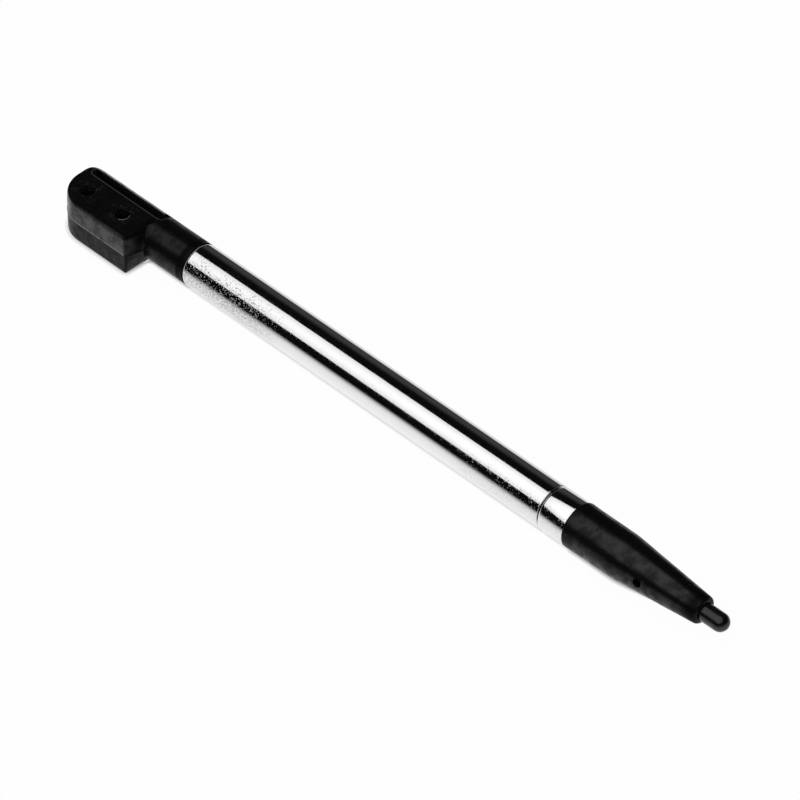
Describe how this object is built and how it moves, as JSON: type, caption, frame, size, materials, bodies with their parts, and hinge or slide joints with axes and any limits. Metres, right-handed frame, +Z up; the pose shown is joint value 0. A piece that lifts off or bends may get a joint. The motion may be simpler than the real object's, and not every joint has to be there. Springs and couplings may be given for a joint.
{
  "type": "stylus pen",
  "caption": "Telescopic stylus pen: chromed barrel with a flag-shaped plastic head, and a conical black point on an inner tube that slides out and turns.",
  "frame": {"origin": "centre of the bounding box in X and Y, on the surface that the pen lies on", "axes": "+X along the pen towards its point, +Z up, -Y the side that the head's flag reaches to"},
  "size_m": [0.087, 0.0068, 0.0048],
  "materials": {
    "black_plastic": "satin moulded",
    "chrome": "bright plated, pitted",
    "bush_plastic": "natural acetal",
    "brass": "turned",
    "nib_plastic": "polished by use"
  },
  "bodies": {
    "barrel": {"head_cap": "black_plastic", "barrel_tube": "chrome", "guide_bush": "bush_plastic"},
    "friction_carriage": {"friction_sleeve": "brass"},
    "point_section": {"rear_plug": "brass", "inner_tube": "chrome", "ferrule": "chrome", "tip_holder": "black_plastic", "nib": "nib_plastic"}
  },
  "joints": [
    {"name": "telescope", "type": "slide", "parent": "barrel", "child": "friction_carriage", "axis": [1, 0, 0], "range_m": [0, 0.029]},
    {"name": "point_spin", "type": "hinge", "parent": "friction_carriage", "child": "point_section", "pos_m": [0.02, 0.00096, 0.00242], "axis": [1, 0, 0], "continuous": true}
  ]
}
